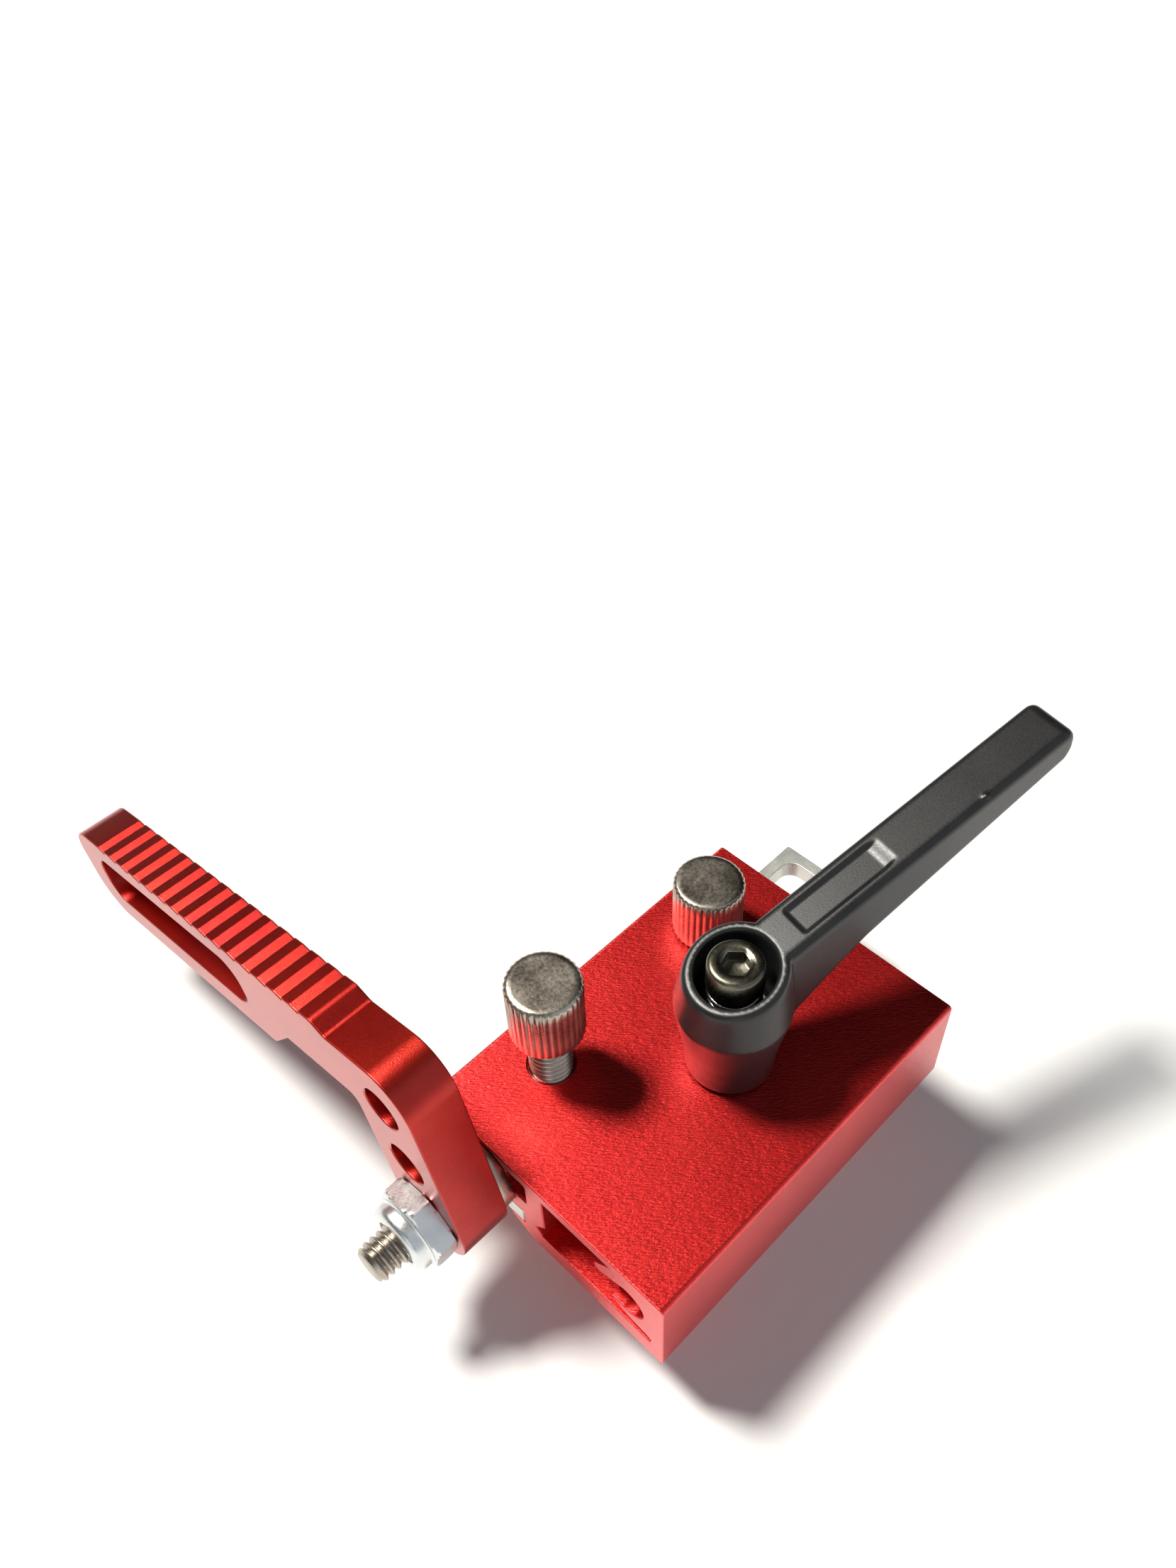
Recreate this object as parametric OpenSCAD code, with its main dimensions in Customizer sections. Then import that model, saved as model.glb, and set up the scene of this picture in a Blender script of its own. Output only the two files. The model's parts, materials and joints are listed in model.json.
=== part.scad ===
// Flip stop with a clamp handle, a slide bar and a ribbed flip lever.
// The origin is on the clamp axis, at the underside of the block.
// +X runs along the extrusion, away from the flip lever. +Z is up.

/* [Block] */
// Length of the block along the extrusion
block_l = 50.8; // [48:0.1:60]
// Width of the block across the extrusion
block_w = 36.5; // [36:0.1:40]
// Height of the block
block_h = 14.4; // [14:0.1:14.8]

/* [Slide bar] */
// Width of the slide bar
bar_w = 12.5; // [11:0.1:12.8]
// Thickness of the slide bar
bar_t = 2.7; // [2.4:0.05:2.75]
// How far the bar stands out past the far end of the block
bar_overhang = 12.3; // [10:0.1:16]

/* [Flip lever] */
// Thickness of the lever plate
lever_t = 6.5; // [5:0.1:8]
// Width of the leg that holds the pivot
leg_w = 11.6; // [10.5:0.1:12.5]
// Length from the pivot to the tip of the arm
arm_l = 68.5; // [68:0.1:80]
// Angle of the arm below the horizontal
lever_tilt = 14; // [0:0.5:30]
// Number of teeth on the long edge
tooth_rows = 15; // [8:1:15]

/* [Clamp handle] */
// Distance from the clamp axis to the end of the arm
handle_l = 47.0; // [40:0.1:60]
// Direction of the arm seen from above, from the +X axis
handle_turn = -10.5; // [-40:0.5:40]
// Slope of the arm
handle_slope = 14.5; // [10:0.5:18]

/* [Thumb screws] */
// Radius of the fluted head
thumb_r = 4.4; // [4:0.05:4.6]
// How far the front thumb screw is screwed out
front_raise = 7.65; // [0:0.05:8]

/* [Hidden] */
$fn = 64;
eps = 0.01;
run_gap = 0.05;

// Block
near_x = -27.2;
right_y = -14.75;
plate_top_t = 1.65;
floor_z = 3.2;
groove_z = 2.65;
slab_top_z = 8.65;
port_r = 2.45;
port_y = 5.3;
port_z = 8.56;
pivot_y = 28.0;
thumb_y = 29.2;
thumb_x_front = 12.4;
thumb_x_rear = 39.75;
edge_r = 0.6;

// Slide bar
bar_z = groove_z + run_gap;
groove_w = bar_w + 4 * run_gap;
groove_top_z = 5.5;
bar_l = block_l + bar_overhang;
window_l = 15.4;
window_rim = 1.7;
window_r = 1.9;

// Pivot
pivot_z = port_z;
stud_d = 4.83;
stud_in = 9;
stud_out = 17;
washer_r = 5.33;
washer_t = 1.85;
lever_face_x = near_x - washer_t - run_gap;
nut_af = 9.5;
nut_hex_t = 2.9;
nut_collar_t = 1.9;
nut_collar_r = 4.3;
ring_r = 3.6;
nut_turn = 16;

// Flip lever, drawn with the pivot at its origin, the arm along the first axis
leg_mid = -0.3;
leg_r = leg_w / 2;
hole_pitch = 9.35;
free_hole_r = 2.75;
leg_top = 25.0;
edge_top = 26.4;
arm_low = 12.3;
arm_step = 16.5;
tooth_pitch = 3.36;
tooth_ramp = 1.55;
tooth_drop = 0.48;
tooth_riser = 0.12;
tooth_start = 59.9;
shoulder_w = 9.0;
shoulder_l = 2.1;
arm_start = 24.6;
arm_slope_l = 5.4;

// Thumb screws
thumb_shank_r = 2.62;
thumb_shank_l = 8.75;
thumb_h = 8.8;
thumb_hole_r = thumb_shank_r + run_gap;
flute_count = 34;
flute_r = 0.15;
thumb_chamfer = 0.4;

// Clamp
clamp_stud_r = 3.175;
clamp_hole_r = clamp_stud_r + run_gap;
hub_low_r = 5.2;
hub_low_z = 0.3;
skirt_z = 11.6;
skirt_r = 6.7;
hub_top_z = 18.0;
hub_top_r = 5.8;
hub_bore_r = 4.5;
web_z = 7.8;
web_t = 1.6;
tooth_count = 12;
tooth_h = 2.4;
insert_r = 4.3;
insert_foot_r = 3.9;
insert_top_z = 7.6;
stud_top_z = 3.9;
screw_head_r = 3.25;
screw_head_h = 3.6;
screw_head_z = 19.2;
screw_neck_r = 2.2;
screw_r = 1.6;
screw_hex_r = 1.7;
spring_r = 2.85;
spring_wire_r = 0.35;
spring_turns = 4;
nut_gap = 3.0;
nut_t = 4.8;
nut_w = 12.7;
nut_l = 19.0;
stud_end = 1.2;
arm_half_w = 3.2;

red = [0.72, 0.08, 0.12];
silver = [0.78, 0.78, 0.76];
steel = [0.6, 0.58, 0.54];
black = [0.07, 0.07, 0.07];

// Extrude a profile drawn in (Y, Z) along +X
module along_x(length) {
  rotate([90, 0, 90]) linear_extrude(length) children();
}

module round_rect(w, h, r) {
  translate([r, 0]) square([w - 2 * r, h]);
  translate([0, r]) square([w, h - 2 * r]);
  for (x = [r, w - r], y = [r, h - r]) translate([x, y]) circle(r);
}

// Chamber on the clamp side, with the hook and the web that shape the screw port
module right_chamber() {
  top_z = block_h - plate_top_t;
  polygon([[7.7, top_z], [18.2, top_z], [18.15, 6.2], [19.8, 4.5], [18.8, floor_z],
           [2.3, floor_z], [1.8, 3.65], [2.2, 4.1], [5.3, 4.7], [7.9, 5.95],
           [5.9, 6.2], [port_y, port_z], [6.5, 10.65], [8.8, 9.75], [9.7, 9.75],
           [10.2, 10.4]]);
  translate([port_y, port_z]) circle(port_r);
}

module left_chamber() {
  translate([20.9, slab_top_z])
    square([3.1, block_h - plate_top_t - slab_top_z]);
}

// Groove for the slide bar, open at the bottom between two tapered lips
module bar_groove() {
  lip_reach = 2.35;
  mouth = groove_w / 2 - lip_reach;
  mouth_low = groove_w / 2 + 0.85;
  translate([pivot_y - groove_w / 2, groove_z]) square([groove_w, groove_top_z - groove_z]);
  translate([pivot_y, 0])
    polygon([[-mouth_low, -eps], [-mouth, groove_z - 0.5], [-mouth, groove_z + eps],
             [mouth, groove_z + eps], [mouth, groove_z - 0.5], [mouth_low, -eps]]);
}

module block() {
  color(red)
  difference() {
    translate([near_x, right_y, 0]) along_x(block_l) difference() {
      round_rect(block_w, block_h, edge_r);
      right_chamber();
      left_chamber();
      bar_groove();
      translate([pivot_y, pivot_z]) circle(stud_d / 2 + run_gap);
    }
    translate([0, 0, -eps]) cylinder(r = clamp_hole_r, h = block_h + 2 * eps);
    for (x = [thumb_x_front, thumb_x_rear])
      translate([near_x + x, right_y + thumb_y, 0]) {
        translate([0, 0, groove_top_z - eps]) cylinder(r = thumb_hole_r, h = block_h);
        translate([0, 0, block_h - 0.35]) cylinder(r1 = thumb_hole_r, r2 = thumb_hole_r + 0.4, h = 0.36);
      }
  }
}

module slide_bar() {
  slot_w = bar_w - 2 * window_rim;
  color(silver)
  translate([near_x, right_y + pivot_y - bar_w / 2, bar_z])
  linear_extrude(bar_t) difference() {
    square([bar_l, bar_w]);
    translate([bar_l - window_rim - window_l, window_rim])
      round_rect(window_l, slot_w, window_r);
  }
}

// Outline of the lever: leg upwards from the pivot, arm to the right
module lever_outline() {
  corner_r = 5.2;
  tip_r = 4.5;
  tip_low_r = 5.5;
  leg_left = leg_mid - leg_r;
  polygon([[leg_left, 0], [leg_mid + leg_r, 0], [leg_mid + leg_r, arm_step], [arm_start - arm_slope_l, arm_step],
           [arm_start, arm_low], [arm_l - tip_low_r, arm_low], [arm_l, arm_low + tip_low_r], [arm_l, edge_top - tip_r],
           [arm_l - tip_r, edge_top], [shoulder_w, edge_top], [shoulder_w - shoulder_l, leg_top],
           [leg_left + corner_r, leg_top], [leg_left, leg_top - corner_r]]);
  translate([leg_mid, 0]) circle(leg_r);
  translate([leg_left + corner_r, leg_top - corner_r]) circle(corner_r);
  translate([arm_l - tip_r, edge_top - tip_r]) circle(tip_r);
  translate([arm_l - tip_low_r, arm_low + tip_low_r]) circle(tip_low_r);
}

// Saw teeth cut into the long edge: each ramp falls towards the leg and ends in a short riser
module edge_teeth() {
  for (i = [0 : tooth_rows - 1]) translate([tooth_start - tooth_pitch * i, edge_top])
    polygon([[0, eps], [0, 0], [-tooth_ramp, -tooth_drop], [-tooth_ramp - tooth_riser, eps]]);
}

module lever_openings() {
  window_x = 27.4;
  window_low = 16.1;
  window_high = 23.4;
  translate([window_x, window_low]) round_rect(arm_l - 5.1 - window_x, window_high - window_low, 3);
  circle(stud_d / 2 + run_gap);
  for (i = [1, 2]) translate([leg_mid, hole_pitch * i]) circle(free_hole_r);
}

// Material added in the inner corner between the leg and the arm
module inner_fillet() {
  r = 1.4;
  x = leg_mid + leg_r;
  difference() {
    translate([x - eps, arm_step - r]) square([r, r + eps]);
    translate([x + r, arm_step - r]) circle(r);
  }
}

module flip_lever() {
  color(red)
  translate([lever_face_x - lever_t, right_y + pivot_y, pivot_z])
  rotate([-lever_tilt, 0, 0])
  along_x(lever_t) difference() {
    union() {
      lever_outline();
      inner_fillet();
    }
    lever_openings();
    edge_teeth();
  }
}

module pivot_frame(x) {
  translate([x, right_y + pivot_y, pivot_z]) rotate([0, 90, 0]) children();
}

module pivot_stud() {
  chamfer = 0.5;
  color(steel) pivot_frame(near_x - stud_out) {
    cylinder(r1 = stud_d / 2 - chamfer, r2 = stud_d / 2, h = chamfer);
    translate([0, 0, chamfer]) cylinder(d = stud_d, h = stud_in + stud_out - chamfer);
  }
}

module pivot_washer() {
  color(silver) pivot_frame(near_x - washer_t) difference() {
    cylinder(r = washer_r, h = washer_t);
    translate([0, 0, -eps]) cylinder(r = stud_d / 2 + 0.02, h = washer_t + 2 * eps);
  }
}

// Hexagon with its corners cut back by a cone, and a collar that closes over the ring
module lock_nut() {
  hex_r = nut_af / sqrt(3);
  nut_x = lever_face_x - lever_t - run_gap;
  color(steel) pivot_frame(nut_x) rotate([0, 180, nut_turn]) difference() {
    union() {
      intersection() {
        cylinder(r = hex_r, h = nut_hex_t, $fn = 6);
        cylinder(r1 = hex_r + 2, r2 = hex_r - 0.45, h = nut_hex_t);
      }
      translate([0, 0, nut_hex_t]) cylinder(r = nut_collar_r, h = nut_collar_t - 0.8);
      translate([0, 0, nut_hex_t + nut_collar_t - 0.8])
        cylinder(r1 = nut_collar_r, r2 = nut_collar_r - 0.75, h = 0.8);
    }
    translate([0, 0, -eps]) cylinder(r = stud_d / 2 + 0.02, h = nut_hex_t + nut_collar_t + 1);
    translate([0, 0, nut_hex_t]) cylinder(r = ring_r, h = nut_collar_t - 0.5);
  }
}

module nut_insert_ring() {
  nut_x = lever_face_x - lever_t - run_gap;
  color([0.85, 0.85, 0.8]) pivot_frame(nut_x) rotate([0, 180, 0])
  translate([0, 0, nut_hex_t]) difference() {
    cylinder(r = ring_r - 0.01, h = nut_collar_t - 0.5);
    translate([0, 0, -eps]) cylinder(r = stud_d / 2 + 0.02, h = nut_collar_t + 1);
  }
}

// The origin of a thumb screw is the underside of its head
module thumb_screw() {
  color(silver) {
    difference() {
      union() {
        cylinder(r1 = thumb_r - thumb_chamfer, r2 = thumb_r, h = thumb_chamfer);
        translate([0, 0, thumb_chamfer]) cylinder(r = thumb_r, h = thumb_h - 2 * thumb_chamfer);
        translate([0, 0, thumb_h - thumb_chamfer])
          cylinder(r1 = thumb_r, r2 = thumb_r - thumb_chamfer, h = thumb_chamfer);
      }
      for (i = [0 : flute_count - 1])
        rotate([0, 0, i * 360 / flute_count]) translate([thumb_r, 0, -eps])
          cylinder(r = flute_r, h = thumb_h + 2 * eps);
    }
    translate([0, 0, -thumb_shank_l]) cylinder(r = thumb_shank_r, h = thumb_shank_l + eps);
  }
}

module thumb_screw_front() {
  translate([near_x + thumb_x_front, right_y + thumb_y, block_h + run_gap + front_raise]) thumb_screw();
}

module thumb_screw_rear() {
  translate([near_x + thumb_x_rear, right_y + thumb_y, block_h + run_gap]) thumb_screw();
}

// Everything below stands on the clamp axis, measured up from the top of the block
module on_clamp() {
  translate([0, 0, block_h + run_gap]) rotate([0, 0, handle_turn]) children();
}

module toothed_round(r) {
  tooth_depth = 0.5;
  difference() {
    circle(r);
    for (i = [0 : tooth_count - 1]) rotate(i * 360 / tooth_count) translate([r, 0]) circle(tooth_depth);
  }
}

// Outline of the arm seen from the side; its top is cut later along the slope
module arm_side() {
  tip_x = handle_l * cos(handle_slope);
  tip_z = hub_top_z + tip_x * tan(handle_slope);
  polygon([[0, hub_top_z + 12], [tip_x - 0.3, hub_top_z + 12], [tip_x - 0.3, tip_z - 0.6],
           [tip_x, tip_z - 1.4], [tip_x + 0.2, tip_z - 3.4], [tip_x - 0.4, tip_z - 4.8],
           [24.5, tip_z - 13.0], [16.4, tip_z - 16.2], [10.4, tip_z - 20.1], [5, tip_z - 23.8], [0, tip_z - 23.8]]);
}

// Outline of the arm seen from above, with rounded corners at the tip
module arm_plan() {
  tip_x = handle_l * cos(handle_slope);
  r = 1.4;
  translate([0, -arm_half_w]) square([tip_x - r + 0.2, 2 * arm_half_w]);
  for (side = [-1, 1]) translate([tip_x - r + 0.2, side * (arm_half_w - r)]) circle(r);
  translate([tip_x - r, r - arm_half_w]) square([r + 0.2, 2 * arm_half_w - 2 * r]);
}

module hub_outside() {
  rotate_extrude() polygon([[0, hub_low_z], [hub_low_r, hub_low_z], [hub_low_r + 0.3, 4.5], [skirt_r - 0.15, skirt_z - 1],
                            [skirt_r, skirt_z], [hub_top_r, hub_top_z], [hub_top_r, hub_top_z + 4], [0, hub_top_z + 4]]);
}

// Space inside the hub, from the counterbore on top to the toothed socket below
module hub_inside() {
  translate([0, 0, web_z + web_t]) cylinder(r = hub_bore_r, h = 30);
  translate([0, 0, web_z - eps]) cylinder(r = screw_neck_r + 0.15, h = web_t + 2 * eps);
  translate([0, 0, web_z - tooth_h - eps]) linear_extrude(tooth_h + eps) toothed_round(insert_r + 0.15);
  translate([0, 0, -eps]) cylinder(r = insert_r + 0.15, h = web_z - tooth_h + eps);
}

// Shallow pocket on top of the arm, with a ramp at its far end
module handle_pocket() {
  pocket_x = 8.2;
  pocket_l = 13.4;
  pocket_w = 3.5;
  pocket_d = 0.38;
  ramp_l = 1.8;
  translate([0, 0, hub_top_z]) rotate([0, -handle_slope, 0])
  translate([pocket_x, pocket_w / 2, 0]) rotate([90, 0, 0]) linear_extrude(pocket_w)
    polygon([[0, 1], [0, -pocket_d], [pocket_l - ramp_l, -pocket_d], [pocket_l, 0], [pocket_l, 1]]);
}

module clamp_handle() {
  reach = 60;
  color(black) on_clamp() difference() {
    union() {
      hub_outside();
      intersection() {
        rotate([90, 0, 0]) translate([0, 0, -reach]) linear_extrude(2 * reach) arm_side();
        linear_extrude(reach) arm_plan();
      }
    }
    translate([0, 0, hub_top_z]) rotate([0, -handle_slope, 0])
      translate([-reach, -reach, 0]) cube([3 * reach, 2 * reach, reach]);
    hub_inside();
    handle_pocket();
  }
}

module clamp_insert() {
  color(steel) on_clamp() difference() {
    union() {
      cylinder(r = insert_foot_r, h = insert_top_z - tooth_h + eps);
      translate([0, 0, insert_top_z - tooth_h]) linear_extrude(tooth_h) toothed_round(insert_r);
    }
    translate([0, 0, -eps]) cylinder(r = clamp_stud_r + 0.01, h = stud_top_z + 2 * eps);
    translate([0, 0, stud_top_z - 0.5]) cylinder(r = screw_r + 0.01, h = insert_top_z);
  }
}

module clamp_stud() {
  top = block_h + run_gap + stud_top_z;
  low = -nut_gap - nut_t - stud_end;
  chamfer = 0.5;
  color(steel) translate([0, 0, low]) {
    cylinder(r1 = clamp_stud_r - chamfer, r2 = clamp_stud_r, h = chamfer);
    translate([0, 0, chamfer]) cylinder(r = clamp_stud_r, h = top - low - chamfer);
  }
}

// Socket-head screw that holds the handle down on the insert through the spring
module retaining_screw() {
  head_low = screw_head_z - screw_head_h;
  color(steel) on_clamp() difference() {
    union() {
      translate([0, 0, head_low]) cylinder(r = screw_head_r, h = screw_head_h);
      translate([0, 0, insert_top_z]) cylinder(r = screw_neck_r, h = head_low - insert_top_z + eps);
      translate([0, 0, stud_top_z + 0.2]) cylinder(r = screw_r, h = insert_top_z - stud_top_z);
    }
    translate([0, 0, screw_head_z - 1.8]) cylinder(r = screw_hex_r, h = 3, $fn = 6);
  }
}

// Coils between the web of the hub and the head of the screw
module lift_spring() {
  low = web_z + web_t + spring_wire_r;
  high = screw_head_z - screw_head_h - spring_wire_r;
  pitch = (high - low) / (spring_turns - 1);
  color(silver) on_clamp()
  for (i = [0 : spring_turns - 1]) translate([0, 0, low + i * pitch])
    rotate_extrude() translate([spring_r, 0]) circle(spring_wire_r);
}

module track_nut() {
  color(steel) translate([0, 0, -nut_gap - nut_t]) difference() {
    translate([-nut_l / 2, -nut_w / 2, 0]) linear_extrude(nut_t) round_rect(nut_l, nut_w, 1);
    translate([0, 0, -eps]) cylinder(r = clamp_stud_r + 0.02, h = nut_t + 2 * eps);
  }
}

block();
slide_bar();
flip_lever();
pivot_stud();
pivot_washer();
lock_nut();
nut_insert_ring();
thumb_screw_front();
thumb_screw_rear();
clamp_handle();
clamp_insert();
clamp_stud();
retaining_screw();
lift_spring();
track_nut();
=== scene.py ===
import json
import math
import bpy
import bmesh
from mathutils import Matrix, Vector


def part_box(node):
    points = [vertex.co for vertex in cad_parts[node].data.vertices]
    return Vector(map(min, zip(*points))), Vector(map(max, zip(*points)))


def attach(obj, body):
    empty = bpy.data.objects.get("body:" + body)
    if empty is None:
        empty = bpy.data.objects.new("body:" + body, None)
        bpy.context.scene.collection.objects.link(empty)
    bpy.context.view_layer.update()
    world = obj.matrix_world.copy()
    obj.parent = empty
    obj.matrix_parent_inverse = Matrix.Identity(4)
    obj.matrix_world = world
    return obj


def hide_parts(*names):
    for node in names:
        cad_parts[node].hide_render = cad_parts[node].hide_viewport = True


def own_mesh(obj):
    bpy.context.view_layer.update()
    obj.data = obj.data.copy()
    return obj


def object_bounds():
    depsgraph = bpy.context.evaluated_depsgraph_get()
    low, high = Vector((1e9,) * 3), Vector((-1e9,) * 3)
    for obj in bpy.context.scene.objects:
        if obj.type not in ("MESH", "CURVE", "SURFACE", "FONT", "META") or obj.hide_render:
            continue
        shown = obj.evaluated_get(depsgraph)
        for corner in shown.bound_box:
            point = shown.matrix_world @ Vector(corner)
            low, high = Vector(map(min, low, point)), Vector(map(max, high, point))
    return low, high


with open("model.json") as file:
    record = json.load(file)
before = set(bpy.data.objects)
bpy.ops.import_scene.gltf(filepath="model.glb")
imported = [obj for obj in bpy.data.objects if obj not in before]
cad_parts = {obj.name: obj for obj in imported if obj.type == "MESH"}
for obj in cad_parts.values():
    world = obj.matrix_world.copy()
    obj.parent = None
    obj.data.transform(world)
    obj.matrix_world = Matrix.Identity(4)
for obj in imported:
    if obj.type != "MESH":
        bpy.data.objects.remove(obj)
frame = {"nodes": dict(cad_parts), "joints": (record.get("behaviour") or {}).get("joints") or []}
cad_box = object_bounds()
scene = bpy.context.scene
MM = 0.001


# ---------------------------------------------------------------- places from the frame, in millimetres
def node_box(node):
    low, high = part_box(node)
    return low / MM, high / MM


joints = {j["name"]: j for j in frame["joints"]}
block_low, block_high = node_box("block")
bar_low, bar_high = node_box("slide_bar")
lever_low, lever_high = node_box("flip_lever")
washer_low, washer_high = node_box("pivot_washer")
nut_low, nut_high = node_box("lock_nut")
stud_low, stud_high = node_box("pivot_stud")
front_low, front_high = node_box("thumb_screw_front")
rear_low, rear_high = node_box("thumb_screw_rear")
insert_low, insert_high = node_box("clamp_insert")
clamp_stud_low, clamp_stud_high = node_box("clamp_stud")
track_low, track_high = node_box("track_nut")
retain_low, retain_high = node_box("retaining_screw")
spring_low, spring_high = node_box("lift_spring")
pivot = Vector(joints["lever_flip"]["pos_m"]) / MM
block_l = block_high.x - block_low.x
block_w = block_high.y - block_low.y
block_h = block_high.z - block_low.z
top_z = block_high.z


# ---------------------------------------------------------------- outlines
def arc(centre, r, start, end, count):
    """Points on an arc, from angle start to angle end in degrees."""
    points = []
    for i in range(count + 1):
        a = math.radians(start + (end - start) * i / count)
        points.append((centre[0] + r * math.cos(a), centre[1] + r * math.sin(a)))
    return points


def rounded(corners, step=12.0):
    """A closed outline from (x, y, radius) corners, with an arc at each corner that has a radius."""
    points = []
    count = len(corners)
    for i, corner in enumerate(corners):
        p = Vector(corner[:2])
        r = corner[2] if len(corner) > 2 else 0.0
        if r <= 0:
            points.append((p.x, p.y))
            continue
        before = (Vector(corners[i - 1][:2]) - p).normalized()
        after = (Vector(corners[(i + 1) % count][:2]) - p).normalized()
        half = before.angle(after) / 2
        reach = r / math.tan(half)
        centre = p + (before + after).normalized() * (r / math.sin(half))
        a = p + before * reach - centre
        b = p + after * reach - centre
        turn = a.angle_signed(b)
        steps = max(2, int(abs(math.degrees(turn)) / step) + 1)
        for k in range(steps + 1):
            angle = -turn * k / steps
            c, s = math.cos(angle), math.sin(angle)
            points.append((centre.x + a.x * c - a.y * s, centre.y + a.x * s + a.y * c))
    return points


def rectangle(x0, y0, x1, y1, r):
    return rounded([(x0, y0, r), (x1, y0, r), (x1, y1, r), (x0, y1, r)])


def circle(centre, r, count=48):
    return arc(centre, r, 0, 360 - 360 / count, count - 1)


# ---------------------------------------------------------------- mesh helpers
def add_object(name, mesh, body, nodes, material):
    obj = bpy.data.objects.new(name, mesh)
    scene.collection.objects.link(obj)
    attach(obj, body)
    if nodes:
        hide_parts(*nodes)
    obj.data.materials.clear()
    obj.data.materials.append(material)
    return obj


def shade(mesh, angle):
    for polygon in mesh.polygons:
        polygon.use_smooth = True
    mesh.set_sharp_from_angle(angle=math.radians(angle))


def to_metres(mesh, matrix=None):
    if matrix is not None:
        mesh.transform(matrix)
    mesh.transform(Matrix.Scale(MM, 4))


def prism(name, loops, depth, edge, matrix, angle, steps=3):
    """A plate with the given outlines: x, y in the plane, from z 0 to depth, with rounded edges."""
    curve = bpy.data.curves.new(name, "CURVE")
    curve.dimensions = "2D"
    curve.fill_mode = "BOTH"
    curve.extrude = depth / 2 - edge
    curve.bevel_depth = edge
    curve.bevel_resolution = steps
    curve.offset = -edge
    for loop in loops:
        spline = curve.splines.new("POLY")
        spline.points.add(len(loop) - 1)
        for point, (x, y) in zip(spline.points, loop):
            point.co = (x, y, 0, 1)
        spline.use_cyclic_u = True
    holder = bpy.data.objects.new(name + "_curve", curve)
    scene.collection.objects.link(holder)
    bpy.context.view_layer.update()
    evaluated = holder.evaluated_get(bpy.context.evaluated_depsgraph_get())
    mesh = bpy.data.meshes.new_from_object(evaluated)
    bpy.data.objects.remove(holder)
    bpy.data.curves.remove(curve)
    bm = bmesh.new()
    bm.from_mesh(mesh)
    bmesh.ops.remove_doubles(bm, verts=bm.verts, dist=1e-4)
    bmesh.ops.translate(bm, verts=bm.verts, vec=(0, 0, depth / 2))
    bmesh.ops.recalc_face_normals(bm, faces=bm.faces)
    bm.to_mesh(mesh)
    bm.free()
    mesh.transform(matrix)
    shade(mesh, angle)
    return mesh


def revolve(name, profile, segments, radius=None, closed=False):
    """A turned piece about Z from (r, z) points. radius(r, z, angle) may change the radius."""
    bm = bmesh.new()
    rings = []
    for r, z in profile:
        ring = []
        if r < 1e-6:
            ring = [bm.verts.new((0, 0, z))]
        else:
            for i in range(segments):
                a = 2 * math.pi * i / segments
                q = radius(r, z, a) if radius else r
                ring.append(bm.verts.new((q * math.cos(a), q * math.sin(a), z)))
        rings.append(ring)
    pairs = list(zip(rings, rings[1:]))
    if closed:
        pairs.append((rings[-1], rings[0]))
    for low, high in pairs:
        for i in range(segments):
            k = (i + 1) % segments
            if len(low) == 1:
                bm.faces.new((low[0], high[k], high[i]))
            elif len(high) == 1:
                bm.faces.new((low[i], low[k], high[0]))
            else:
                bm.faces.new((low[i], low[k], high[k], high[i]))
    bmesh.ops.recalc_face_normals(bm, faces=bm.faces)
    mesh = bpy.data.meshes.new(name)
    bm.to_mesh(mesh)
    bm.free()
    return mesh


def threaded_rod(name, r, pitch, z0, z1, depth, chamfer=0.5, segments=60, rows=10):
    """A rod with a helical thread along Z and a chamfer at each end."""
    step = pitch / rows
    count = max(2, int((z1 - z0) / step))
    profile = [(0, z0)] + [(r, z0 + (z1 - z0) * i / count) for i in range(count + 1)] + [(0, z1)]

    def radius(q, z, a):
        phase = (z / pitch - a / (2 * math.pi)) % 1.0
        wave = abs(2 * phase - 1)
        wave = min(1.0, max(0.0, 1.3 * wave - 0.1))
        end = min(z - z0, z1 - z)
        return min(q - depth * (1 - wave), r - chamfer + end * 0.9)

    return revolve(name, profile, segments, radius)


def weight_normals(obj):
    modifier = obj.modifiers.new("even_normals", "WEIGHTED_NORMAL")
    modifier.keep_sharp = True
    modifier.weight = 80


def cut(obj, cutter):
    """Takes the cutter's shape out of obj, and removes the cutter."""
    modifier = obj.modifiers.new("cut", "BOOLEAN")
    modifier.operation = "DIFFERENCE"
    modifier.solver = "EXACT"
    modifier.object = cutter
    bpy.context.view_layer.update()
    evaluated = obj.evaluated_get(bpy.context.evaluated_depsgraph_get())
    mesh = bpy.data.meshes.new_from_object(evaluated)
    obj.modifiers.remove(modifier)
    obj.data = mesh
    bpy.data.objects.remove(cutter)


def helper(mesh):
    obj = bpy.data.objects.new("helper", mesh)
    scene.collection.objects.link(obj)
    return obj


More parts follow.
